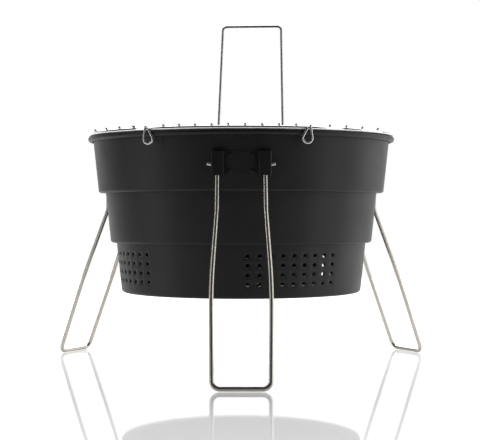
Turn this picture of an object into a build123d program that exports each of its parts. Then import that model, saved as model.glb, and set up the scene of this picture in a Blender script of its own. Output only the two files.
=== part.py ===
from build123d import *

import math
import os

# Portable tabletop grill: three telescoping sheet-steel rings, three wire legs that push up into
# brackets on the top ring, a wire cooking grate with a hinged handle, and a wire charcoal grate.
# Millimetres, +Z up. The origin lies on the bowl's axis, in the plane the feet stand on.
# The front leg points along -Y.

# Bowl
SHEET = 0.9  # thickness of the sheet steel
WALL_LEAN = 6.0  # degrees each ring's wall leans outward
TOP_BASE_Z = 167.0  # underside of the top ring's inward lip
MIDDLE_BASE_Z = 118.9  # underside of the middle ring's lip
PAN_BASE_Z = 70.4  # underside of the pan
MIDDLE_BASE_R = 127.9  # outer radius of the middle ring at its underside
PAN_BASE_R = 117.2  # outer radius of the pan at its underside
LIP_GAP = 0.5  # radial room between a lip and the wall that slides through it
SEAT_GAP = 0.25  # room under a flange that rests on a lip
FLANGE_WALL_GAP = 1.2  # radial room between a flange's edge and the wall around it
FLANGE_BEND_R = 1.0
RING_CORNER_R = 2.0
PAN_CORNER_R = 3.0

# Rolled rim of the top ring
RIM_R = 150.0  # outermost radius
RIM_Z = 219.1
BEAD_R = 2.9  # outer radius of the roll
BEAD_SWEEP = 290.0  # degrees the sheet is rolled through

# Air vents in the pan wall
VENT_DIAMETER = 3.8
VENT_GROUPS = 4
VENT_COLUMNS = 9
VENT_ROWS = 4
VENT_FIRST_ANGLE = -87.3  # degrees from +X to the first column
VENT_COLUMN_STEP = 5.16
VENT_TOP_Z = 109.0
VENT_ROW_STEP = 8.57

# Leg brackets, each built on the +X side and turned to its place
LEG_PLACES = {"front": -90.0, "left": 150.0, "right": 30.0}
BRACKET_LOW_Z = 181.0
BRACKET_HIGH_Z = 202.5
BRACKET_SHEET = 1.0
BRACKET_FACE_X = 149.3  # front of the channels
CHANNEL_INNER_Y = 15.0
CHANNEL_OUTER_Y = 26.5
CHANNEL_EDGE_R = 1.3
CONTACT_GAP = 0.05  # between curved faces that are fastened together
RIVET_Y = 10.0
RIVET_RISE = 7.2  # of a rivet above or below the bracket's middle
RIVET_SHANK_R = 1.5
RIVET_HOLE_R = 1.6
RIVET_HEAD_R = 2.3
RIVET_HEAD_HEIGHT = 1.1
RIVET_TAIL_R = 2.1
RIVET_TAIL_HEIGHT = 0.7

# Wire legs
LEG_WIRE_R = 2.0
LEG_X = 145.8  # of the upright wire inside its channel
PIN_Z = 189.5
PIN_Y = 20.9
PIN_TIP_Y = 30.0
PIN_RISE = 12.0  # degrees the sprung tip points upward
PIN_SLOT_R = 2.4
PIN_BEND_R = 3.2
KNEE_Y = 21.5
KNEE_BEND_R = 18.0
BOW_Y = 26.0  # widest point of the loop
BOW_Z = 85.0
BOW_BEND_R = 600.0
FOOT_X = 205.0
FOOT_Y = 24.6
FOOT_BEND_R = 7.0
LEG_SPLAY = 0.398  # outward run for each unit of drop
WIRE_END_ROUND = 0.5

# Cooking grate, built flat about its own centre, then turned
GRATE_R = 149.5
GRATE_WIRE_R = 1.5
GRATE_Z = 223.05  # height of the ring wire, which lies on the outer shoulder of the rolled rim
GRATE_TURN = -4.3  # degrees about Z
BAR_R = 1.0
BAR_STEP = 14.67
BARS_EACH_SIDE = 9
BAR_OVERHANG = 2.4
WELD = 0.15  # depth that welded wires sink into each other
LOOP_BAR = 5  # which bar, counted from the middle, ends in a hanging loop
LOOP_BAR_SHIFT = -2.2  # both loop bars sit a little to the left of the even spacing
LOOP_CLEAR = 1.4  # between the loop's wire and the rolled rim
LOOP_TURN = 20.0  # degrees the loop's plane follows the rim round
LOOP_DROP = 15.9
LOOP_OUTER = -2.2  # the two lower corners of the teardrop, from its bar towards the middle
LOOP_INNER = 10.2
LOOP_TIP = (2.4, -2.6)
LOOP_TOP_BEND_R = 2.2
LOOP_BELLY_R = 4.2

# Handle of the cooking grate, built upright about its hinge, then leaned back
HANDLE_WIRE_R = 1.3
HANDLE_BASE_HALF = 35.7
HANDLE_TOP_HALF = 32.3
HANDLE_LENGTH = 134.7
HANDLE_LEAN = 12.0
HANDLE_CORNER_R = 4.5
EYE_R = 3.5
EYE_SWEEP = 300.0
HINGE_Y = 132.0  # the cross wire that the handle turns on, behind the grate's centre
HINGE_WIRE_R = 1.3
HINGE_WIRE_HALF = 45.5

# Charcoal grate in the pan
CHARCOAL_R = 110.0
CHARCOAL_Z = 80.5
CHARCOAL_WIRE_R = 1.5
CHARCOAL_BAR_R = 1.1
CHARCOAL_BAR_STEP = 15.0
CHARCOAL_BARS_EACH_SIDE = 6
CHARCOAL_BAR_OVERHANG = 1.5
CHARCOAL_FEET = 4
CHARCOAL_FOOT_HALF = 9.0
CHARCOAL_FOOT_BEND_R = 3.0
FLOOR_GAP = 0.1

SLOPE = math.tan(math.radians(WALL_LEAN))
HALF_SHEET = SHEET / 2
BEAD_CENTRE_R = RIM_R - BEAD_R
BRACKET_MIDDLE_Z = (BRACKET_LOW_Z + BRACKET_HIGH_Z) / 2


def bead_start():
    """Where the top ring's wall runs into the rolled bead, on the sheet's middle line."""
    lean = math.radians(WALL_LEAN)
    roll = BEAD_R - HALF_SHEET
    return BEAD_CENTRE_R - roll * math.cos(lean), RIM_Z + roll * math.sin(lean)


def top_wall_r(z):
    """Outer radius of the top ring's wall at height z."""
    start_r, start_z = bead_start()
    return start_r - (start_z - z) * SLOPE + HALF_SHEET / math.cos(math.radians(WALL_LEAN))


def wall_r(base_r, base_z, z):
    """Outer radius at height z of a leaning wall with base_r at base_z."""
    return base_r + (z - base_z) * SLOPE


def turned_sheet(path):
    """A sheet-metal piece whose middle line, drawn as radius and height, is turned about Z."""
    return revolve(Plane.XZ * trace(path, SHEET), Axis.Z)


def wire(path, radius):
    """A round wire along a path."""
    return sweep(Plane(origin=path @ 0, z_dir=path % 0) * Circle(radius), path=path)


def top_ring():
    start_r, start_z = bead_start()
    lip_z = TOP_BASE_Z + HALF_SHEET
    lip_r = wall_r(MIDDLE_BASE_R, MIDDLE_BASE_Z, TOP_BASE_Z + SHEET) + LIP_GAP
    corner_r = start_r - (start_z - lip_z) * SLOPE
    wall = FilletPolyline((lip_r, lip_z), (corner_r, lip_z), (start_r, start_z), radius=RING_CORNER_R)
    bead = CenterArc((BEAD_CENTRE_R, RIM_Z), BEAD_R - HALF_SHEET, 180 - WALL_LEAN, -BEAD_SWEEP)
    ring = turned_sheet(wall + bead)
    return ring - [place * rivet_hole() for turn in LEG_PLACES.values() for place in rivet_places(turn)]


def middle_ring():
    base_z = MIDDLE_BASE_Z + HALF_SHEET
    top_z = TOP_BASE_Z + SHEET + SEAT_GAP + HALF_SHEET
    lip_r = wall_r(PAN_BASE_R, PAN_BASE_Z, MIDDLE_BASE_Z + SHEET) + LIP_GAP
    flange_r = top_wall_r(TOP_BASE_Z + SHEET) - SHEET - FLANGE_WALL_GAP
    path = FilletPolyline(
        (lip_r, base_z),
        (wall_r(MIDDLE_BASE_R, MIDDLE_BASE_Z, base_z) - HALF_SHEET, base_z),
        (wall_r(MIDDLE_BASE_R, MIDDLE_BASE_Z, top_z) - HALF_SHEET, top_z),
        (flange_r, top_z),
        radius=[RING_CORNER_R, FLANGE_BEND_R],
    )
    return turned_sheet(path)


def vent_cutters():
    """Drills for the air vents: groups of columns that follow the leaning wall."""
    drills = []
    for group in range(VENT_GROUPS):
        for column in range(VENT_COLUMNS):
            turn = VENT_FIRST_ANGLE + group * 360 / VENT_GROUPS + column * VENT_COLUMN_STEP
            for row in range(VENT_ROWS):
                z = VENT_TOP_Z - row * VENT_ROW_STEP
                place = Rot(0, 0, turn) * Pos(wall_r(PAN_BASE_R, PAN_BASE_Z, z), 0, z)
                drills.append(place * Rot(0, 90 + WALL_LEAN, 0) * Cylinder(VENT_DIAMETER / 2, 8 * SHEET))
    return drills


def bottom_pan():
    base_z = PAN_BASE_Z + HALF_SHEET
    top_z = MIDDLE_BASE_Z + SHEET + SEAT_GAP + HALF_SHEET
    flange_r = wall_r(MIDDLE_BASE_R, MIDDLE_BASE_Z, MIDDLE_BASE_Z + SHEET) - SHEET - FLANGE_WALL_GAP
    path = FilletPolyline(
        (0, base_z),
        (wall_r(PAN_BASE_R, PAN_BASE_Z, base_z) - HALF_SHEET, base_z),
        (wall_r(PAN_BASE_R, PAN_BASE_Z, top_z) - HALF_SHEET, top_z),
        (flange_r, top_z),
        radius=[PAN_CORNER_R, FLANGE_BEND_R],
    )
    return turned_sheet(path) - vent_cutters()


def rivet_places(turn):
    """The four places of one bracket's rivets: on the top ring's outer face, +X outward."""
    places = []
    for side in (-1, 1):
        for rise in (-RIVET_RISE, RIVET_RISE):
            z = BRACKET_MIDDLE_Z + rise
            swing = math.degrees(math.asin(side * RIVET_Y / top_wall_r(z)))
            places.append(Rot(0, 0, turn + swing) * Pos(top_wall_r(z), 0, z) * Rot(0, WALL_LEAN, 0))
    return places


def rivet_hole():
    return Rot(0, 90, 0) * Cylinder(RIVET_HOLE_R, 8 * SHEET)


def rivet():
    """A round-headed rivet through the bracket and the wall, with its outward axis along +X."""
    inside = -SHEET - CONTACT_GAP
    outside = 2 * CONTACT_GAP + BRACKET_SHEET
    grip = outside - inside
    shank = Pos(0, 0, (inside + outside) / 2) * Cylinder(RIVET_SHANK_R, grip)
    head = Cylinder(RIVET_HEAD_R, RIVET_HEAD_HEIGHT)
    head = fillet(head.edges().group_by(Axis.Z)[-1], 0.8 * RIVET_HEAD_HEIGHT)
    tail = Pos(0, 0, inside - RIVET_TAIL_HEIGHT / 2) * Cylinder(RIVET_TAIL_R, RIVET_TAIL_HEIGHT)
    return Rot(0, 90, 0) * (shank + tail + Pos(0, 0, outside + RIVET_HEAD_HEIGHT / 2) * head)


def bracket_rivets(turn):
    return Compound([place * rivet() for place in rivet_places(turn)])


def wall_offset_solid(gap):
    """The cone that lies gap outside the top ring's wall, over the bracket's height and more."""
    low, high = BRACKET_LOW_Z - 10, BRACKET_HIGH_Z + 10
    return Pos(0, 0, (low + high) / 2) * Cone(top_wall_r(low) + gap, top_wall_r(high) + gap, high - low)


def channel(side):
    """One hat-shaped channel, open at the bottom and slotted for the leg's pin."""
    height = BRACKET_HIGH_Z - BRACKET_LOW_Z
    width = CHANNEL_OUTER_Y - CHANNEL_INNER_Y
    depth = 2 * width
    middle_y = side * (CHANNEL_INNER_Y + CHANNEL_OUTER_Y) / 2
    shell = Box(depth, width, height)
    shell = fillet(shell.edges().filter_by(Axis.Z).group_by(Axis.X)[-1], CHANNEL_EDGE_R)
    shell = fillet(shell.faces().sort_by(Axis.Z)[-1].edges().sort_by(Axis.X)[-1], CHANNEL_EDGE_R / 2)
    shell = Pos(BRACKET_FACE_X - depth / 2, middle_y, BRACKET_MIDDLE_Z) * shell
    hollow = Pos(BRACKET_FACE_X - BRACKET_SHEET - depth / 2, middle_y, BRACKET_MIDDLE_Z - BRACKET_SHEET) * Box(
        depth, width - 2 * BRACKET_SHEET, height
    )
    slot_y = side * (CHANNEL_OUTER_Y - BRACKET_SHEET / 2)
    slot_z = PIN_Z + (abs(slot_y) - PIN_Y) * math.tan(math.radians(PIN_RISE))
    slot = Pos(LEG_X, slot_y, slot_z) * Rot(90, 0, 0) * Cylinder(PIN_SLOT_R, 2 * BRACKET_SHEET)
    mouth_height = slot_z - BRACKET_LOW_Z + 1
    mouth = Pos(LEG_X, slot_y, slot_z - mouth_height / 2) * Box(
        2 * PIN_SLOT_R, 2 * BRACKET_SHEET, mouth_height
    )
    return shell - hollow - slot - mouth


def leg_bracket(turn):
    """A stamped bracket: a curved web riveted to the wall, with a channel on each side."""
    web = wall_offset_solid(CONTACT_GAP + BRACKET_SHEET) & (
        Pos(top_wall_r(BRACKET_MIDDLE_Z), 0, BRACKET_MIDDLE_Z)
        * Box(40, 2 * CHANNEL_INNER_Y + BRACKET_SHEET, BRACKET_HIGH_Z - BRACKET_LOW_Z)
    )
    solid = web + channel(-1) + channel(1) - wall_offset_solid(CONTACT_GAP)
    return Rot(0, 0, turn) * solid - [place * rivet_hole() for place in rivet_places(turn)]


def leg_points(side):
    """Corners of one half of a leg's wire, from the sprung tip to the foot."""
    knee_z = LEG_WIRE_R + (FOOT_X - LEG_X) / LEG_SPLAY
    tip_z = PIN_Z + (PIN_TIP_Y - PIN_Y) * math.tan(math.radians(PIN_RISE))
    return [
        (LEG_X, side * PIN_TIP_Y, tip_z),
        (LEG_X, side * PIN_Y, PIN_Z),
        (LEG_X, side * KNEE_Y, knee_z),
        (FOOT_X - (BOW_Z - LEG_WIRE_R) * LEG_SPLAY, side * BOW_Y, BOW_Z),
        (FOOT_X, side * FOOT_Y, LEG_WIRE_R),
    ]


def leg(turn):
    """One wire leg: two sprung tips, two upright stretches, and a splayed loop to the foot."""
    bends = [PIN_BEND_R, KNEE_BEND_R, BOW_BEND_R, FOOT_BEND_R]
    path = FilletPolyline(*leg_points(-1), *reversed(leg_points(1)), radius=bends + bends[::-1])
    solid = wire(path, LEG_WIRE_R)
    tips = solid.faces().filter_by(GeomType.PLANE)
    return Rot(0, 0, turn) * fillet(tips.edges(), WIRE_END_ROUND)


def grate_place():
    """Carries the flat grate to its place on the rim."""
    return Pos(0, 0, GRATE_Z) * Rot(0, 0, GRATE_TURN)


def bar_z():
    return GRATE_WIRE_R + BAR_R - WELD


def bar_half_length(x):
    return math.sqrt(GRATE_R**2 - x**2) + BAR_OVERHANG


def straight_bar(x, half_length, z, radius):
    return Pos(x, 0, z) * Rot(90, 0, 0) * Cylinder(radius, 2 * half_length)


def cooking_grate_ring():
    return grate_place() * Torus(GRATE_R, GRATE_WIRE_R)


def cooking_grate_bars():
    numbers = [n for n in range(-BARS_EACH_SIDE, BARS_EACH_SIDE + 1) if abs(n) != LOOP_BAR]
    bars = []
    for number in numbers:
        x = number * BAR_STEP
        bar = straight_bar(x, bar_half_length(x), bar_z(), BAR_R)
        bars.append(grate_place() * fillet(bar.edges().filter_by(GeomType.CIRCLE), WIRE_END_ROUND))
    return Compound(bars)


def loop_bar(side):
    """A long bar whose front end drops over the rim and closes into a hanging loop."""
    x = side * LOOP_BAR * BAR_STEP + LOOP_BAR_SHIFT
    front_y = -math.sqrt((RIM_R + LOOP_CLEAR + BAR_R) ** 2 - x**2)
    turn = math.radians(LOOP_TURN)

    def loop_point(across, rise):
        return x - side * across * math.cos(turn), front_y - across * math.sin(turn), bar_z() + rise

    path = FilletPolyline(
        (x, bar_half_length(x), bar_z()),
        (x, front_y, bar_z()),
        loop_point(LOOP_OUTER, -LOOP_DROP),
        loop_point(LOOP_INNER, -LOOP_DROP),
        loop_point(*LOOP_TIP),
        radius=[LOOP_TOP_BEND_R, LOOP_BELLY_R, LOOP_BELLY_R],
    )
    return grate_place() * wire(path, BAR_R)


def hinge_z():
    """Height of the hinge wire, welded under the bars, above the ring's middle."""
    return bar_z() - BAR_R - HINGE_WIRE_R + WELD


def handle_hinge_wire():
    """A short cross wire under the bars, near the back, that the handle turns on."""
    rod = Rot(0, 90, 0) * Cylinder(HINGE_WIRE_R, 2 * HINGE_WIRE_HALF)
    return grate_place() * Pos(0, HINGE_Y, hinge_z()) * rod


def grate_handle():
    """The lifting handle: a wire bow whose two ends curl into eyes around the hinge wire."""
    slant = (HANDLE_BASE_HALF - HANDLE_TOP_HALF) / HANDLE_LENGTH

    def eye(side):
        along = Vector(-side * slant, 0, 1).normalized()
        plane = Plane(origin=(side * HANDLE_BASE_HALF, 0, 0), x_dir=(0, 1, 0), z_dir=Vector(0, 1, 0).cross(along))
        return plane * CenterArc((0, 0), EYE_R, 0, -EYE_SWEEP)

    bow = FilletPolyline(
        (-HANDLE_BASE_HALF, EYE_R, 0),
        (-HANDLE_TOP_HALF, EYE_R, HANDLE_LENGTH),
        (HANDLE_TOP_HALF, EYE_R, HANDLE_LENGTH),
        (HANDLE_BASE_HALF, EYE_R, 0),
        radius=HANDLE_CORNER_R,
    )
    solid = wire(bow, HANDLE_WIRE_R) + wire(eye(-1), HANDLE_WIRE_R) + wire(eye(1), HANDLE_WIRE_R)
    return grate_place() * Pos(0, HINGE_Y, hinge_z()) * Rot(-HANDLE_LEAN, 0, 0) * solid


def charcoal_grate_ring():
    return Pos(0, 0, CHARCOAL_Z) * Torus(CHARCOAL_R, CHARCOAL_WIRE_R)


def charcoal_grate_bars():
    z = CHARCOAL_Z + CHARCOAL_WIRE_R + CHARCOAL_BAR_R - WELD
    bars = []
    for number in range(-CHARCOAL_BARS_EACH_SIDE, CHARCOAL_BARS_EACH_SIDE + 1):
        x = number * CHARCOAL_BAR_STEP
        half_length = math.sqrt(CHARCOAL_R**2 - x**2) + CHARCOAL_BAR_OVERHANG
        bars.append(straight_bar(x, half_length, z, CHARCOAL_BAR_R))
    return Compound(bars)


def charcoal_grate_feet():
    """Short wire loops welded under the charcoal grate's ring, standing on the pan's floor."""
    top_z = CHARCOAL_Z - 2 * CHARCOAL_WIRE_R + WELD
    low_z = PAN_BASE_Z + SHEET + FLOOR_GAP + CHARCOAL_WIRE_R
    path = FilletPolyline(
        (CHARCOAL_R, -CHARCOAL_FOOT_HALF, top_z + CHARCOAL_WIRE_R),
        (CHARCOAL_R, -CHARCOAL_FOOT_HALF, low_z),
        (CHARCOAL_R, CHARCOAL_FOOT_HALF, low_z),
        (CHARCOAL_R, CHARCOAL_FOOT_HALF, top_z + CHARCOAL_WIRE_R),
        radius=CHARCOAL_FOOT_BEND_R,
    )
    foot = wire(path, CHARCOAL_WIRE_R)
    return Compound([Rot(0, 0, 45 + n * 360 / CHARCOAL_FEET) * foot for n in range(CHARCOAL_FEET)])


parts = {
    "top_ring": top_ring(),
    "middle_ring": middle_ring(),
    "bottom_pan": bottom_pan(),
    "charcoal_grate_ring": charcoal_grate_ring(),
    "charcoal_grate_bars": charcoal_grate_bars(),
    "charcoal_grate_feet": charcoal_grate_feet(),
    "cooking_grate_ring": cooking_grate_ring(),
    "cooking_grate_bars": cooking_grate_bars(),
    "left_loop_bar": loop_bar(-1),
    "right_loop_bar": loop_bar(1),
    "handle_hinge_wire": handle_hinge_wire(),
    "grate_handle": grate_handle(),
}
for place_name, place_turn in LEG_PLACES.items():
    parts[f"{place_name}_leg_bracket"] = leg_bracket(place_turn)
    parts[f"{place_name}_bracket_rivets"] = bracket_rivets(place_turn)
    parts[f"{place_name}_leg"] = leg(place_turn)

os.makedirs("parts", exist_ok=True)
for node_name, shape in parts.items():
    export_step(shape, f"parts/{node_name}.step")
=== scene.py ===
import math
import random

import bmesh
import bpy
from mathutils import Matrix, Vector


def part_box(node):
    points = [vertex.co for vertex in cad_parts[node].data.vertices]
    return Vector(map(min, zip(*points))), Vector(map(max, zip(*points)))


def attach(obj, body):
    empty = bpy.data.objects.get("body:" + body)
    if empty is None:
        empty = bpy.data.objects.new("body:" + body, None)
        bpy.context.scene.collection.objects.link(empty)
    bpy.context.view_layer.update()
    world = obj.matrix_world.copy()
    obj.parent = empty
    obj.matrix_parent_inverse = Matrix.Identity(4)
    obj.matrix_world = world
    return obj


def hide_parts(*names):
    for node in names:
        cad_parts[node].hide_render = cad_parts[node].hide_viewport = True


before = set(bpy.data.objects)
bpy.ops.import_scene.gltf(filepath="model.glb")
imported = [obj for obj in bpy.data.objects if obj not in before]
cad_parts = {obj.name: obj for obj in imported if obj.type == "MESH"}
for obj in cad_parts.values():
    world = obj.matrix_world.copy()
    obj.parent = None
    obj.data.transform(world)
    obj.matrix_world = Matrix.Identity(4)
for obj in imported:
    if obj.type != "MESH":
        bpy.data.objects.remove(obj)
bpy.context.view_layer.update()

# Lengths are in millimetres until a mesh is made.
MM = 0.001


def corners(node):
    """Lowest and highest corner of a CAD node, in millimetres."""
    low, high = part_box(node)
    return low / MM, high / MM


# ---------------------------------------------------------------- sizes

TOP_LOW, TOP_HIGH = corners("top_ring")
MIDDLE_LOW, MIDDLE_HIGH = corners("middle_ring")
PAN_LOW, PAN_HIGH = corners("bottom_pan")

SHEET = 0.9
LEAN = math.radians(6.0)
BEAD_R = 2.9
BEAD_SWEEP = math.radians(290.0)
MIDDLE_BASE_R = 127.9
PAN_BASE_R = 117.2
LIP_GAP = 0.5
RING_CORNER_R = 2.0
PAN_CORNER_R = 3.0
FLANGE_BEND_R = 1.0

VENT_R = 1.9
VENT_GROUPS = 4
VENT_COLUMNS = 9
VENT_ROWS = 4
VENT_FIRST = math.radians(-87.3)
VENT_COLUMN_STEP = math.radians(5.16)
VENT_TOP_Z = 109.0
VENT_ROW_STEP = 8.57
VENT_LIP = 0.3
VENT_TURN = math.radians(225)  # where each vent's first point lies, at a corner of its cell

LEG_TURNS = {"front": -90.0, "left": 150.0, "right": 30.0}
LEG_WIRE_R = 2.0
LEG_X = 145.8
PIN_Z = 189.5
PIN_Y = 20.9
PIN_TIP_Y = 30.0
PIN_RISE = math.radians(12.0)
LEG_BENDS = [3.2, 18.0, 600.0, 7.0]  # bend radii from the sprung tip to the foot
KNEE_Y = 21.5
BOW_Y, BOW_Z = 26.0, 85.0
FOOT_X, FOOT_Y = 205.0, 24.6
LEG_SPLAY = 0.398

GRATE_R = 149.5
GRATE_WIRE_R = 1.5
GRATE_Z = 223.05
GRATE_TURN = math.radians(-4.3)
BAR_R = 1.0
BAR_STEP = 14.67
BARS_EACH_SIDE = 9
BAR_OVERHANG = 2.4
WELD = 0.15
BAR_Z = GRATE_WIRE_R + BAR_R - WELD
LOOP_BAR = 5
LOOP_BAR_SHIFT = -2.2
LOOP_CLEAR = 1.4
LOOP_TURN = math.radians(20.0)
LOOP_DROP = 15.9
LOOP_OUTER, LOOP_INNER = -2.2, 10.2
LOOP_TIP = (2.4, -2.6)
LOOP_BENDS = [2.2, 4.2, 4.2]  # bend radii where the bar drops, then round the loop

HANDLE_WIRE_R = 1.3
HANDLE_BASE_HALF = 35.7
HANDLE_TOP_HALF = 32.3
HANDLE_LENGTH = 134.7
HANDLE_LEAN = math.radians(12.0)
HANDLE_CORNER_R = 4.5
EYE_R = 3.5
EYE_SWEEP = math.radians(300.0)
HINGE_Y = 132.0
HINGE_WIRE_R = 1.3
HINGE_WIRE_HALF = 45.5
HINGE_Z = BAR_Z - BAR_R - HINGE_WIRE_R + WELD

CHARCOAL_R = 110.0
CHARCOAL_Z = 80.5
CHARCOAL_WIRE_R = 1.5
CHARCOAL_BAR_R = 1.1
CHARCOAL_BAR_STEP = 15.0
CHARCOAL_BARS_EACH_SIDE = 6
CHARCOAL_BAR_OVERHANG = 1.5
CHARCOAL_FEET = 4
CHARCOAL_FOOT_HALF = 9.0
CHARCOAL_FOOT_BEND_R = 3.0


# ---------------------------------------------------------------- paths

def arc_through_corner(before, corner, after, radius, steps):
    """Points on the arc of that radius that rounds off a corner."""
    to_before = (before - corner).normalized()
    to_after = (after - corner).normalized()
    half = to_before.angle(to_after) / 2
    centre = corner + (to_before + to_after).normalized() * radius / math.sin(half)
    start = corner + to_before * radius / math.tan(half) - centre
    end = corner + to_after * radius / math.tan(half) - centre
    sweep = start.angle(end)
    points = []
    for n in range(steps + 1):
        share = n / steps
        point = (start * math.sin((1 - share) * sweep) + end * math.sin(share * sweep)) / math.sin(sweep)
        points.append(centre + point)
    return points


def rounded(points, radii, steps=10):
    """A polyline with its corners rounded off."""
    points = [Vector(p) for p in points]
    path = [points[0]]
    for n, radius in enumerate(radii, start=1):
        path += arc_through_corner(points[n - 1], points[n], points[n + 1], radius, steps)
    path.append(points[-1])
    return path


def refined(path, longest):
    """The same path with long stretches divided, and a point close to each end of them."""
    edge = 0.3
    out = [path[0]]
    for a, b in zip(path, path[1:]):
        length = (b - a).length
        if length > longest:
            shares = [edge / length, 1 - edge / length]
            pieces = math.ceil(length / longest)
            shares += [n / pieces for n in range(1, pieces)]
            out += [a.lerp(b, share) for share in sorted(shares)]
        out.append(b)
    return out


# ---------------------------------------------------------------- meshes

def piece_from(name, bm, body, material, replaced=(), place=None):
    """Turns a bmesh in millimetres into a shown piece that rides on a body."""
    bmesh.ops.recalc_face_normals(bm, faces=bm.faces)
    for face in bm.faces:
        face.smooth = True
    mesh = bpy.data.meshes.new(name)
    bm.to_mesh(mesh)
    bm.free()
    if place is not None:
        mesh.transform(place)
    mesh.transform(Matrix.Scale(MM, 4))
    obj = bpy.data.objects.new(name, mesh)
    bpy.context.scene.collection.objects.link(obj)
    mesh.materials.append(material)
    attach(obj, body)
    if replaced:
        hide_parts(*replaced)
    return obj


END_STEPS = 4  # rings of points in the rounding of a wire's end


def tangents_of(path, closed):
    """Direction of the path at each of its points."""
    count = len(path)
    tangents = []
    for n in range(count):
        if closed:
            tangents.append((path[(n + 1) % count] - path[n - 1]).normalized())
        else:
            tangents.append((path[min(n + 1, count - 1)] - path[max(n - 1, 0)]).normalized())
    return tangents


def round_ends(stations, radius, run, end_round):
    """The same stations, with both ends of the wire rounded over."""
    round_r = min(end_round, radius * 0.9)
    first, last = stations[0], stations[-1]
    head, tail = [], []
    for n in range(END_STEPS):
        turn = n / END_STEPS * math.pi / 2
        ring_r = radius - round_r + round_r * math.sin(turn)
        back = round_r * (1 - math.cos(turn))
        head.append((first[0] + first[1] * back, first[1], first[2], ring_r, back))
        tail.append((last[0] - last[1] * back, last[1], last[2], ring_r, run - back))
    first = (first[0] + first[1] * round_r, first[1], first[2], radius, round_r)
    last = (last[0] - last[1] * round_r, last[1], last[2], radius, run - round_r)
    return head + [first] + stations[1:-1] + [last] + tail[::-1]


def add_tube(bm, path, radius, sides=20, closed=False, end_round=0.5):
    """A round wire along a path, with its ends rounded over. Its UVs run round and along the wire."""
    uv = bm.loops.layers.uv.verify()
    path = [Vector(p) for p in path]
    tangents = tangents_of(path, closed)
    side = tangents[0].orthogonal().normalized()
    stations, run = [], 0.0
    for n, (point, tangent) in enumerate(zip(path, tangents)):
        side = (side - tangent * side.dot(tangent)).normalized()
        if n:
            run += (point - path[n - 1]).length
        stations.append((point, tangent, side.copy(), radius, run))
    if not closed:
        stations = round_ends(stations, radius, run, end_round)
    rings = []
    for point, tangent, across, ring_r, along in stations:
        up = tangent.cross(across)
        ring = []
        for k in range(sides):
            turn = 2 * math.pi * k / sides
            ring.append(bm.verts.new(point + (across * math.cos(turn) + up * math.sin(turn)) * ring_r))
        rings.append((ring, along))
    if closed:
        rings.append((rings[0][0], run + (path[0] - path[-1]).length))
    for (ring_a, along_a), (ring_b, along_b) in zip(rings, rings[1:]):
        for k in range(sides):
            nxt = (k + 1) % sides
            face = bm.faces.new((ring_a[k], ring_a[nxt], ring_b[nxt], ring_b[k]))
            rounds = (k / sides, (k + 1) / sides, (k + 1) / sides, k / sides)
            for loop, around, along in zip(face.loops, rounds, (along_a, along_a, along_b, along_b)):
                loop[uv].uv = (around, along * MM)
    if not closed:
        bm.faces.new(rings[0][0][::-1])
        bm.faces.new(rings[-1][0])


def sheet_outline(path, on_axis=False):
    """The closed outline, as radius and height, of a sheet whose middle line is the path."""
    half = SHEET / 2
    left, right = [], []
    for n, point in enumerate(path):
        ahead = path[min(n + 1, len(path) - 1)] - path[max(n - 1, 0)]
        normal = Vector((-ahead.y, ahead.x)).normalized()
        left.append(point + normal * half)
        right.append(point - normal * half)

    def cap(end, normal, outward):
        """Points round the half circle that closes one end of the sheet."""
        turns = [share * math.pi for share in (0.2, 0.4, 0.6, 0.8)]
        return [end + half * (normal * math.cos(t) + outward * math.sin(t)) for t in turns]

    last = (path[-1] - path[-2]).normalized()
    outline = left + cap(path[-1], Vector((-last.y, last.x)), last) + right[::-1]
    if not on_axis:
        first = (path[0] - path[1]).normalized()
        outline += cap(path[0], Vector((-first.y, first.x)), first)
    return outline


def turned(bm, outline, turns, skip=None, closed=True):
    """Turns an outline about Z. Returns the vertices by place in the outline, then by angle."""
    grid = []
    for point in outline:
        ring = [(point.x * math.cos(t), point.x * math.sin(t), point.y) for t in turns]
        grid.append([bm.verts.new(co) for co in ring])
    rows = len(outline)
    for row in range(rows if closed else rows - 1):
        for column in range(len(turns)):
            if skip and skip(row, column):
                continue
            a, b = grid[row], grid[(row + 1) % rows]
            nxt = (column + 1) % len(turns)
            bm.faces.new((a[column], a[nxt], b[nxt], b[column]))
    return grid


# ---------------------------------------------------------------- materials

def shader(name, metallic, roughness, gloss=0.5):
    """A material whose Principled shader has these plain values. Returns it with its nodes."""
    material = bpy.data.materials.new(name)
    material.use_nodes = True
    nodes, links = material.node_tree.nodes, material.node_tree.links
    principled = nodes["Principled BSDF"]
    principled.inputs["Metallic"].default_value = metallic
    principled.inputs["Specular IOR Level"].default_value = gloss
    principled.inputs["Roughness"].default_value = roughness
    return material, nodes, links, principled


def noise(nodes, links, source, scale, detail=4.0, roughness=0.55):
    """A noise texture on some coordinates, read per metre."""
    texture = nodes.new("ShaderNodeTexNoise")
    texture.inputs["Scale"].default_value = scale
    texture.inputs["Detail"].default_value = detail
    texture.inputs["Roughness"].default_value = roughness
    links.new(source, texture.inputs["Vector"])
    return texture.outputs["Fac"]


def remapped(nodes, links, source, low, high, to_low, to_high):
    """A value carried from one range to another, and held inside it."""
    node = nodes.new("ShaderNodeMapRange")
    node.inputs["From Min"].default_value = low
    node.inputs["From Max"].default_value = high
    node.inputs["To Min"].default_value = to_low
    node.inputs["To Max"].default_value = to_high
    links.new(source, node.inputs["Value"])
    return node.outputs["Result"]


def mixed(nodes, links, share, first, second):
    """A colour between two, by a share that varies over the surface."""
    node = nodes.new("ShaderNodeMix")
    node.data_type = "RGBA"
    for socket, value in ((node.inputs["A"], first), (node.inputs["B"], second)):
        if isinstance(value, tuple):
            socket.default_value = (*value, 1.0)
        else:
            links.new(value, socket)
    links.new(share, node.inputs["Factor"])
    return node.outputs["Result"]


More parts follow.
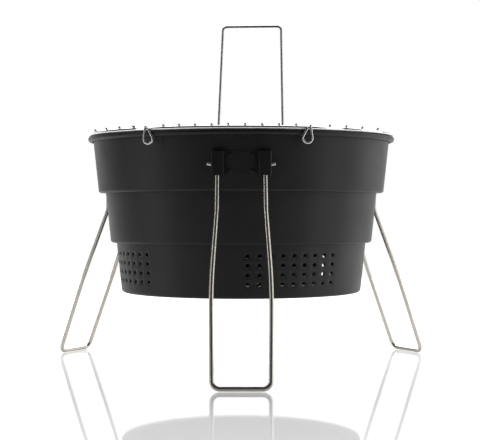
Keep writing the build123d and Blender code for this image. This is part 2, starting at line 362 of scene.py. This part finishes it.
def maths(nodes, links, operation, first, second):
    """A sum, product or other result of two values."""
    node = nodes.new("ShaderNodeMath")
    node.operation = operation
    for socket, value in zip(node.inputs, (first, second)):
        if isinstance(value, (int, float)):
            socket.default_value = value
        else:
            links.new(value, socket)
    return node.outputs["Value"]


def bumped(nodes, links, principled, height, distance, strength):
    """Raises the surface's shading by a height."""
    node = nodes.new("ShaderNodeBump")
    node.inputs["Strength"].default_value = strength
    node.inputs["Distance"].default_value = distance
    links.new(height, node.inputs["Height"])
    links.new(node.outputs["Normal"], principled.inputs["Normal"])


COATING_DARK = (0.0075, 0.0075, 0.008)
COATING_LIGHT = (0.0125, 0.0125, 0.013)
COATING_GLOSS = 0.36
EDGE_WEAR_WIDTH = 0.9
EDGE_WEAR_MOST = 0.22  # share of the worn colour on the most rubbed spots
WORN_COLOUR = (0.06, 0.058, 0.055)
WIRE_LINE_SCALE = (20.0, 6.0, 1.0)  # round the wire, then for each metre along it
WIRE_LINE_DEPTH = 0.03


def coating(name, edges=(), dark=COATING_DARK, light=COATING_LIGHT):
    """Matte heat-proof black: a fine grain, faint cloudiness, and rubbed edges at these heights."""
    material, nodes, links, principled = shader(name, 0.0, 0.45, COATING_GLOSS)
    place = nodes.new("ShaderNodeTexCoord").outputs["Object"]
    cloud = noise(nodes, links, place, 38.0, 3.0)
    grain = noise(nodes, links, place, 1500.0, 2.0)
    tone = remapped(nodes, links, cloud, 0.3, 0.7, 0.0, 1.0)
    colour = mixed(nodes, links, tone, dark, light)
    rough = remapped(nodes, links, maths(nodes, links, "ADD", cloud, grain), 0.6, 1.4, 0.40, 0.54)
    if edges:
        height = nodes.new("ShaderNodeSeparateXYZ")
        links.new(place, height.inputs["Vector"])
        rubbed = None
        for edge in edges:
            above = maths(nodes, links, "SUBTRACT", height.outputs["Z"], edge * MM)
            off = maths(nodes, links, "ABSOLUTE", above, 0)
            near = remapped(nodes, links, off, 0.0, EDGE_WEAR_WIDTH * MM, 1.0, 0.0)
            rubbed = near if rubbed is None else maths(nodes, links, "MAXIMUM", rubbed, near)
        blotches = noise(nodes, links, place, 130.0, 5.0, 0.7)
        patchy = remapped(nodes, links, blotches, 0.47, 0.72, 0.0, EDGE_WEAR_MOST)
        share = maths(nodes, links, "MULTIPLY", rubbed, patchy)
        colour = mixed(nodes, links, share, colour, WORN_COLOUR)
    links.new(colour, principled.inputs["Base Color"])
    links.new(rough, principled.inputs["Roughness"])
    bumped(nodes, links, principled, grain, 0.00005, 0.5)
    return material


def drawn_wire(name, colour, shade, roughness, streak=0.5, tint=None):
    """Metal wire: fine die lines along its length, and slow changes of tone."""
    material, nodes, links, principled = shader(name, 1.0, roughness)
    coordinates = nodes.new("ShaderNodeTexCoord")
    stretch = nodes.new("ShaderNodeMapping")
    stretch.inputs["Scale"].default_value = WIRE_LINE_SCALE
    links.new(coordinates.outputs["UV"], stretch.inputs["Vector"])
    lines = noise(nodes, links, stretch.outputs["Vector"], 1.0, 3.0, 0.6)
    cloud = noise(nodes, links, coordinates.outputs["Object"], 90.0, 3.0)
    tone = remapped(nodes, links, maths(nodes, links, "ADD", lines, cloud), 0.7, 1.3, 0.0, 1.0)
    base = mixed(nodes, links, tone, shade, colour)
    if tint:
        spread = noise(nodes, links, coordinates.outputs["Object"], 24.0, 4.0)
        patch = remapped(nodes, links, spread, 0.5, 0.72, 0, 0.7)
        base = mixed(nodes, links, patch, base, tint)
    links.new(base, principled.inputs["Base Color"])
    rough = remapped(nodes, links, lines, 0.3, 0.7, roughness * 0.8, roughness * 1.25)
    links.new(rough, principled.inputs["Roughness"])
    bumped(nodes, links, principled, lines, WIRE_LINE_DEPTH * MM, streak)
    return material


TOP_BLACK = coating("top_ring_coating", (TOP_LOW.z, TOP_HIGH.z))
MIDDLE_BLACK = coating("middle_ring_coating", (MIDDLE_LOW.z, MIDDLE_HIGH.z))
PAN_BLACK = coating("pan_coating", (PAN_LOW.z, PAN_HIGH.z))
BRACKET_BLACK = coating("bracket_coating", (), (0.005, 0.005, 0.0055), (0.009, 0.009, 0.0095))
STAINLESS = drawn_wire("stainless_wire", (0.58, 0.55, 0.5), (0.52, 0.49, 0.445), 0.2, 0.06)
CHROME = drawn_wire("chrome_wire", (0.8, 0.8, 0.81), (0.72, 0.72, 0.74), 0.07, 0.1)
HANDLE_GREY = drawn_wire("handle_wire", (0.44, 0.43, 0.41), (0.38, 0.37, 0.35), 0.26, 0.2)
DULL_STEEL = drawn_wire(
    "charcoal_wire", (0.13, 0.127, 0.12), (0.08, 0.078, 0.075), 0.46, 0.6, tint=(0.09, 0.065, 0.05)
)


# ---------------------------------------------------------------- bowl

RING_STEPS = 288
RING_TURNS = [2 * math.pi * n / RING_STEPS for n in range(RING_STEPS)]
BEAD_STEPS = 30
SHEET_STEP = 9.0  # longest stretch of sheet between two points


def wall_r(base_r, base_z, z):
    """Outer radius at height z of a leaning wall with base_r at base_z."""
    return base_r + (z - base_z) * math.tan(LEAN)


def bead_start():
    """Centre and radius of the bead's middle line, and the point where the wall runs into it."""
    roll = BEAD_R - SHEET / 2
    centre = Vector((TOP_HIGH.x - BEAD_R, TOP_HIGH.z - BEAD_R))
    return centre, roll, centre + roll * Vector((-math.cos(LEAN), math.sin(LEAN)))


def make_top_ring():
    centre, roll, start = bead_start()
    lip_z = TOP_LOW.z + SHEET / 2
    lip_r = wall_r(MIDDLE_BASE_R, MIDDLE_LOW.z, TOP_LOW.z + SHEET) + LIP_GAP
    corner_r = start.x - (start.y - lip_z) * math.tan(LEAN)
    path = rounded([(lip_r, lip_z), (corner_r, lip_z), tuple(start)], [RING_CORNER_R])
    path = refined(path, SHEET_STEP)
    for n in range(1, BEAD_STEPS + 1):
        turn = math.pi - LEAN - BEAD_SWEEP * n / BEAD_STEPS
        path.append(centre + roll * Vector((math.cos(turn), math.sin(turn))))
    bm = bmesh.new()
    turned(bm, sheet_outline(path), RING_TURNS)
    piece_from("top_ring_shell", bm, "bowl_top", TOP_BLACK, ["top_ring"])


def ring_path(first, base_r, base_z, flange_r, top_z, corner_r):
    """Middle line of a ring or pan: inward floor or lip, leaning wall, outward flange."""
    low_z = base_z + SHEET / 2
    high_z = top_z - SHEET / 2
    return rounded(
        [
            (first, low_z),
            (wall_r(base_r, base_z, low_z) - SHEET / 2, low_z),
            (wall_r(base_r, base_z, high_z) - SHEET / 2, high_z),
            (flange_r, high_z),
        ],
        [corner_r, FLANGE_BEND_R],
    )


def make_middle_ring():
    lip_r = wall_r(PAN_BASE_R, PAN_LOW.z, MIDDLE_LOW.z + SHEET) + LIP_GAP
    path = ring_path(lip_r, MIDDLE_BASE_R, MIDDLE_LOW.z, MIDDLE_HIGH.x, MIDDLE_HIGH.z, RING_CORNER_R)
    path[-1].x -= SHEET / 2
    bm = bmesh.new()
    turned(bm, sheet_outline(refined(path, SHEET_STEP)), RING_TURNS)
    piece_from("middle_ring_shell", bm, "bowl_middle", MIDDLE_BLACK, ["middle_ring"])


CELL = 4  # divisions along each side of the square of wall around a vent


def pan_turns():
    """Angles of the pan's mesh: fine steps that fit the vents' columns, then the plain stretches."""
    group = 2 * math.pi / VENT_GROUPS
    vented = VENT_COLUMNS * VENT_COLUMN_STEP
    fine = VENT_COLUMNS * CELL
    plain = round((group - vented) / (VENT_COLUMN_STEP / CELL))
    turns = []
    for n in range(VENT_GROUPS):
        start = VENT_FIRST - VENT_COLUMN_STEP / 2 + n * group
        turns += [start + vented * k / fine for k in range(fine)]
        turns += [start + vented + (group - vented) * k / plain for k in range(plain)]
    return turns, fine, fine + plain


def pan_path():
    """Middle line of the pan, with even points down its vented band."""
    path = ring_path(0.0, PAN_BASE_R, PAN_LOW.z, PAN_HIGH.x - SHEET / 2, PAN_HIGH.z, PAN_CORNER_R)
    wall = [n for n in range(len(path) - 1) if (path[n + 1] - path[n]).length > 30 and path[n].x > 50]
    split = max(wall)
    low, high = path[split], path[split + 1]
    drop = math.sin(LEAN) * SHEET / 2
    bottom_z = VENT_TOP_Z - (VENT_ROWS - 0.5) * VENT_ROW_STEP + drop
    top_z = VENT_TOP_Z + 0.5 * VENT_ROW_STEP + drop
    rows = VENT_ROWS * CELL
    even = [bottom_z + (top_z - bottom_z) * n / rows for n in range(rows + 1)]
    heights = [low.y + 0.3, *even, high.y - 0.3]
    band = [low.lerp(high, (z - low.y) / (high.y - low.y)) for z in heights]
    floor = refined(path[: split + 1], SHEET_STEP)
    return floor + band + path[split + 1:], len(floor) + 1, rows


def add_vent(bm, outer, inner, place):
    """Fills one square of wall around a round hole. place(turn, r, depth) is a point beside it."""
    count = len(outer)
    rings = [outer]
    for radius, depth in (
        (VENT_R + VENT_LIP, 0.0),
        (VENT_R + 0.3 * VENT_LIP, 0.3 * VENT_LIP),
        (VENT_R, VENT_LIP),
        (VENT_R, SHEET - 0.5 * VENT_LIP),
        (VENT_R + 0.5 * VENT_LIP, SHEET),
    ):
        turns = [VENT_TURN + 2 * math.pi * k / count for k in range(count)]
        rings.append([bm.verts.new(place(turn, radius, depth)) for turn in turns])
    rings.append(inner)
    for a, b in zip(rings, rings[1:]):
        for k in range(count):
            nxt = (k + 1) % count
            bm.faces.new((a[k], a[nxt], b[nxt], b[k]))


def cell_border(grid, rows, columns):
    """The vertices round a square of the grid, from its low first corner."""
    row0, row1 = rows
    border = [grid[row0][c] for c in columns[:-1]]
    step = 1 if row1 > row0 else -1
    border += [grid[r][columns[-1]] for r in range(row0, row1, step)]
    border += [grid[row1][c] for c in columns[:0:-1]]
    border += [grid[r][columns[0]] for r in range(row1, row0, -step)]
    return border


def make_pan():
    path, band, rows = pan_path()
    turns, fine, period = pan_turns()
    outline = sheet_outline(path, on_axis=True)
    count = len(outline)

    def vented(row, column):
        return column % period < fine and any(0 <= r - band < rows for r in (row, count - 2 - row))

    bm = bmesh.new()
    grid = turned(bm, outline, turns, vented, closed=False)
    total = len(turns)
    for group in range(VENT_GROUPS):
        for column in range(VENT_COLUMNS):
            first = group * period + column * CELL
            columns = [(first + k) % total for k in range(CELL + 1)]
            centre_turn = VENT_FIRST + group * 2 * math.pi / VENT_GROUPS + column * VENT_COLUMN_STEP
            for row in range(VENT_ROWS):
                low = band + row * CELL
                middle = (path[low] + path[low + CELL]) / 2

                def place(turn, radius, depth, middle=middle, centre_turn=centre_turn):
                    out = SHEET / 2 - depth
                    rise = radius * math.sin(turn)
                    r = middle.x + rise * math.sin(LEAN) + out * math.cos(LEAN)
                    z = middle.y + rise * math.cos(LEAN) - out * math.sin(LEAN)
                    swing = centre_turn + radius * math.cos(turn) / r
                    return r * math.cos(swing), r * math.sin(swing), z

                outer_rows = (count - 1 - low, count - 1 - low - CELL)
                outer = cell_border(grid, outer_rows, columns)
                inner = cell_border(grid, (low, low + CELL), columns)
                add_vent(bm, outer, inner, place)
    bmesh.ops.delete(bm, geom=[v for v in bm.verts if not v.link_faces], context="VERTS")
    bmesh.ops.remove_doubles(bm, verts=[v for v in bm.verts if v.co.xy.length < 0.01], dist=0.01)
    piece_from("bottom_pan_shell", bm, "fire_pan", PAN_BLACK, ["bottom_pan"])


# ---------------------------------------------------------------- legs and brackets

def leg_half(side):
    """Corners of half a leg's wire, from the sprung tip to the foot."""
    return [
        (LEG_X, side * PIN_TIP_Y, PIN_Z + (PIN_TIP_Y - PIN_Y) * math.tan(PIN_RISE)),
        (LEG_X, side * PIN_Y, PIN_Z),
        (LEG_X, side * KNEE_Y, LEG_WIRE_R + (FOOT_X - LEG_X) / LEG_SPLAY),
        (FOOT_X - (BOW_Z - LEG_WIRE_R) * LEG_SPLAY, side * BOW_Y, BOW_Z),
        (FOOT_X, side * FOOT_Y, LEG_WIRE_R),
    ]


def make_legs():
    for name, turn in LEG_TURNS.items():
        bends = LEG_BENDS + LEG_BENDS[::-1]
        path = refined(rounded(leg_half(-1) + leg_half(1)[::-1], bends, 12), 12.0)
        bm = bmesh.new()
        add_tube(bm, path, LEG_WIRE_R, 28, end_round=0.6)
        place = Matrix.Rotation(math.radians(turn), 4, "Z")
        body, replaced = f"{name}_leg_loop", [f"{name}_leg"]
        piece_from(f"{name}_leg_wire", bm, body, STAINLESS, replaced, place)


def dress_brackets():
    """The brackets and rivets keep their own shapes and take a finish."""
    for name in LEG_TURNS:
        for node in (f"{name}_leg_bracket", f"{name}_bracket_rivets"):
            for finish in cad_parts[node].material_slots:
                finish.material = BRACKET_BLACK


# ---------------------------------------------------------------- cooking grate

def grate_place():
    """Carries the flat grate to its place on the rim."""
    return Matrix.Translation((0, 0, GRATE_Z)) @ Matrix.Rotation(GRATE_TURN, 4, "Z")


def circle(radius, z, steps):
    """Points round a level circle about Z."""
    turns = [2 * math.pi * n / steps for n in range(steps)]
    return [(radius * math.cos(t), radius * math.sin(t), z) for t in turns]


def add_straight(bm, x, half_length, z, radius, sides=14):
    """A straight wire along Y, with rounded ends."""
    path = refined([Vector((x, -half_length, z)), Vector((x, half_length, z))], 14.0)
    add_tube(bm, path, radius, sides, end_round=0.45)


WELD_WOBBLE = 0.08
WELD_SPREAD, WELD_FLATNESS = 1.25, 0.62


def add_weld(bm, x, y, z, size, chance):
    """A small squashed lump where two wires are welded."""
    ball = bmesh.ops.create_icosphere(bm, subdivisions=3, radius=1.0)
    for vert in ball["verts"]:
        wobble = 1 + WELD_WOBBLE * chance.uniform(-1, 1)
        vert.co = Vector((
            x + vert.co.x * size * WELD_SPREAD * wobble,
            y + vert.co.y * size * WELD_SPREAD * wobble,
            z + vert.co.z * size * WELD_FLATNESS,
        ))


def chrome_piece(name, bm, replaced=()):
    """A piece of the cooking grate, carried from its own frame to the rim."""
    piece_from(name, bm, "cooking_grate", CHROME, replaced, grate_place())


def make_cooking_grate():
    bm = bmesh.new()
    add_tube(bm, circle(GRATE_R, 0.0, RING_STEPS), GRATE_WIRE_R, 24, closed=True)
    chrome_piece("grate_ring_wire", bm, ["cooking_grate_ring"])
    chance = random.Random(7)
    bars, welds = bmesh.new(), bmesh.new()
    for number in range(-BARS_EACH_SIDE, BARS_EACH_SIDE + 1):
        looped = abs(number) == LOOP_BAR
        x = number * BAR_STEP + (LOOP_BAR_SHIFT if looped else 0)
        y = math.sqrt(GRATE_R**2 - x**2)
        if not looped:
            add_straight(bars, x, y + BAR_OVERHANG, BAR_Z, BAR_R)
        for end in (-y, y):
            add_weld(welds, x, end, GRATE_WIRE_R - 0.1, 1.0, chance)
    chrome_piece("grate_bar_wires", bars, ["cooking_grate_bars"])
    chrome_piece("grate_weld_spots", welds)
    bm = bmesh.new()
    ends = [Vector((side * HINGE_WIRE_HALF, HINGE_Y, HINGE_Z)) for side in (-1, 1)]
    add_tube(bm, refined(ends, 7.0), HINGE_WIRE_R, 20, end_round=0.4)
    chrome_piece("hinge_cross_wire", bm, ["handle_hinge_wire"])
    for name, side in (("left", -1), ("right", 1)):
        bm = bmesh.new()
        add_tube(bm, loop_bar_path(side), BAR_R, 18, end_round=0.45)
        chrome_piece(f"{name}_loop_bar_wire", bm, [f"{name}_loop_bar"])


def loop_bar_path(side):
    """A long bar that drops over the rim at the front and closes into a hanging loop."""
    x = side * LOOP_BAR * BAR_STEP + LOOP_BAR_SHIFT
    back_y = math.sqrt(GRATE_R**2 - x**2) + BAR_OVERHANG
    front_y = -math.sqrt((TOP_HIGH.x + LOOP_CLEAR + BAR_R) ** 2 - x**2)

    def loop_point(across, rise):
        """A point of the loop, by its run towards the middle and its height over the bar."""
        y = front_y - across * math.sin(LOOP_TURN)
        return x - side * across * math.cos(LOOP_TURN), y, BAR_Z + rise

    points = [
        (x, back_y, BAR_Z),
        (x, front_y, BAR_Z),
        loop_point(LOOP_OUTER, -LOOP_DROP),
        loop_point(LOOP_INNER, -LOOP_DROP),
        loop_point(*LOOP_TIP),
    ]
    return refined(rounded(points, LOOP_BENDS, 14), 14.0)


def make_handle():
    slant = (HANDLE_BASE_HALF - HANDLE_TOP_HALF) / HANDLE_LENGTH
    bow = rounded(
        [
            (-HANDLE_BASE_HALF, EYE_R, 0),
            (-HANDLE_TOP_HALF, EYE_R, HANDLE_LENGTH),
            (HANDLE_TOP_HALF, EYE_R, HANDLE_LENGTH),
            (HANDLE_BASE_HALF, EYE_R, 0),
        ],
        [HANDLE_CORNER_R, HANDLE_CORNER_R],
        12,
    )

    def eye(side):
        """The curl at one end, from where it leaves the bow."""
        along = Vector((-side * slant, 0, 1)).normalized()
        out = Vector((0, 1, 0))
        centre = Vector((side * HANDLE_BASE_HALF, 0, 0))
        steps = 40
        turns = [EYE_SWEEP * n / steps for n in range(1, steps + 1)]
        return [centre + EYE_R * (out * math.cos(t) - along * math.sin(t)) for t in turns]

    path = eye(-1)[::-1] + refined(bow, 10.0) + eye(1)
    bm = bmesh.new()
    add_tube(bm, path, HANDLE_WIRE_R, 22, end_round=0.4)
    lean = Matrix.Translation((0, HINGE_Y, HINGE_Z)) @ Matrix.Rotation(-HANDLE_LEAN, 4, "X")
    place = grate_place() @ lean
    piece_from("lifting_handle_wire", bm, "handle", HANDLE_GREY, ["grate_handle"], place)


# ---------------------------------------------------------------- charcoal grate

def make_charcoal_grate():
    body, slot = "charcoal_grate", "charcoal_wire"
    bm = bmesh.new()
    add_tube(bm, circle(CHARCOAL_R, CHARCOAL_Z, 192), CHARCOAL_WIRE_R, 20, closed=True)
    piece_from("charcoal_ring_wire", bm, body, DULL_STEEL, ["charcoal_grate_ring"])
    chance = random.Random(11)
    bars, welds = bmesh.new(), bmesh.new()
    bar_z = CHARCOAL_Z + CHARCOAL_WIRE_R + CHARCOAL_BAR_R - WELD
    for number in range(-CHARCOAL_BARS_EACH_SIDE, CHARCOAL_BARS_EACH_SIDE + 1):
        x = number * CHARCOAL_BAR_STEP
        y = math.sqrt(CHARCOAL_R**2 - x**2)
        add_straight(bars, x, y + CHARCOAL_BAR_OVERHANG, bar_z, CHARCOAL_BAR_R)
        for end in (-y, y):
            add_weld(welds, x, end, CHARCOAL_Z + CHARCOAL_WIRE_R - 0.1, 1.0, chance)
    piece_from("charcoal_bar_wires", bars, body, DULL_STEEL, ["charcoal_grate_bars"])
    piece_from("charcoal_weld_spots", welds, body, DULL_STEEL)
    low_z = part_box("charcoal_grate_feet")[0].z / MM + CHARCOAL_WIRE_R
    high_z = CHARCOAL_Z - CHARCOAL_WIRE_R + WELD
    half = CHARCOAL_FOOT_HALF
    corner_points = [
        (CHARCOAL_R, -half, high_z),
        (CHARCOAL_R, -half, low_z),
        (CHARCOAL_R, half, low_z),
        (CHARCOAL_R, half, high_z),
    ]
    path = refined(rounded(corner_points, [CHARCOAL_FOOT_BEND_R] * 2), 6.0)
    feet = bmesh.new()
    for n in range(CHARCOAL_FEET):
        turn = Matrix.Rotation(math.radians(45 + n * 360 / CHARCOAL_FEET), 3, "Z")
        add_tube(feet, [turn @ p for p in path], CHARCOAL_WIRE_R, 18)
    piece_from("charcoal_feet_wires", feet, body, DULL_STEEL, ["charcoal_grate_feet"])


make_top_ring()
make_middle_ring()
make_pan()
make_legs()
dress_brackets()
make_cooking_grate()
make_handle()
make_charcoal_grate()


# ---------------------------------------------------------------- stage

# Lengths here are in metres.
TABLE_HALF = 1.1  # half the floor's width and depth
TABLE_FRONT = 0.62  # how far it comes forward of the object
TABLE_DROP = 0.0003  # keeps it just clear of the feet
TABLE_COLOUR = (0.86, 0.86, 0.86, 1.0)
TABLE_GLOW = 0.26  # lifts the floor to the white of what is behind it
TABLE_ROUGHNESS = 0.045
WORLD_DIM, WORLD_BRIGHT = 0.07, 1.4  # light from in front of the object and from behind it

LIGHTS = (
    # name, place, target, size, power
    ("back_box", (0.0, 1.2, 1.5), (0, 0, 0.0), (2.2, 1.3), 34.0),
    ("right_box", (1.35, 0.45, 0.4), (0, 0, 0.15), (0.7, 1.4), 5.0),
    ("right_strip", (1.25, -0.5, 0.45), (0, 0, 0.15), (0.35, 1.4), 3.8),
    ("left_strip", (-1.3, -0.4, 0.45), (0, 0, 0.15), (0.26, 1.4), 3.2),
)
CAMERA_PLACE = (-0.00113, -1.2662, 0.1516)
CAMERA_DOWN = 0.5  # degrees below level
CAMERA_LENS = 96.12


def make_floor():
    """A plain pale table top with a soft gloss. Its front edge is out of the camera's view."""
    bm = bmesh.new()
    bmesh.ops.create_grid(bm, x_segments=4, y_segments=4, size=TABLE_HALF)
    mesh = bpy.data.meshes.new("floor")
    bm.to_mesh(mesh)
    bm.free()
    floor = bpy.data.objects.new("floor", mesh)
    floor.location = (0, TABLE_HALF - TABLE_FRONT, -TABLE_DROP)
    bpy.context.scene.collection.objects.link(floor)
    material, nodes, links, principled = shader("pale_floor", 0.0, TABLE_ROUGHNESS)
    principled.inputs["Base Color"].default_value = TABLE_COLOUR
    principled.inputs["Emission Color"].default_value = (1.0, 1.0, 1.0, 1.0)
    principled.inputs["Emission Strength"].default_value = TABLE_GLOW
    mesh.materials.append(material)


def make_world():
    """White all round to the eye. What lights the object is bright behind it and dim elsewhere."""
    scene = bpy.context.scene
    scene.world = bpy.data.worlds.new("studio")
    scene.world.use_nodes = True
    nodes, links = scene.world.node_tree.nodes, scene.world.node_tree.links
    nodes.clear()
    output = nodes.new("ShaderNodeOutputWorld")
    seen = nodes.new("ShaderNodeBackground")
    seen.inputs["Color"].default_value = (1.0, 1.0, 1.0, 1.0)
    lit = nodes.new("ShaderNodeBackground")
    lit.inputs["Strength"].default_value = 1.0
    direction = nodes.new("ShaderNodeTexCoord").outputs["Generated"]
    parts = nodes.new("ShaderNodeSeparateXYZ")
    links.new(direction, parts.inputs["Vector"])
    ramp = remapped(nodes, links, parts.outputs["Y"], 0.35, 0.95, WORLD_DIM, WORLD_BRIGHT)
    links.new(ramp, lit.inputs["Color"])
    ray = nodes.new("ShaderNodeLightPath")
    choice = nodes.new("ShaderNodeMixShader")
    links.new(ray.outputs["Is Camera Ray"], choice.inputs["Fac"])
    links.new(lit.outputs["Background"], choice.inputs[1])
    links.new(seen.outputs["Background"], choice.inputs[2])
    links.new(choice.outputs["Shader"], output.inputs["Surface"])


def add_light(name, place, target, size, power):
    """A soft box at a place, turned to face a target."""
    light = bpy.data.lights.new(name, "AREA")
    light.shape = "RECTANGLE"
    light.size, light.size_y = size
    light.energy = power
    obj = bpy.data.objects.new(name, light)
    obj.location = place
    obj.rotation_euler = (Vector(target) - Vector(place)).to_track_quat("-Z", "Y").to_euler()
    bpy.context.scene.collection.objects.link(obj)


def make_camera():
    """Stands level with the bowl, far back, and looks very slightly down."""
    data = bpy.data.cameras.new("camera")
    data.sensor_width = 36.0
    data.lens = CAMERA_LENS
    camera = bpy.data.objects.new("camera", data)
    camera.location = CAMERA_PLACE
    camera.rotation_euler = (math.radians(90 - CAMERA_DOWN), 0, 0)
    bpy.context.scene.collection.objects.link(camera)
    bpy.context.scene.camera = camera


make_floor()
make_world()
for light_values in LIGHTS:
    add_light(*light_values)
make_camera()
bpy.context.scene.view_settings.view_transform = "Standard"
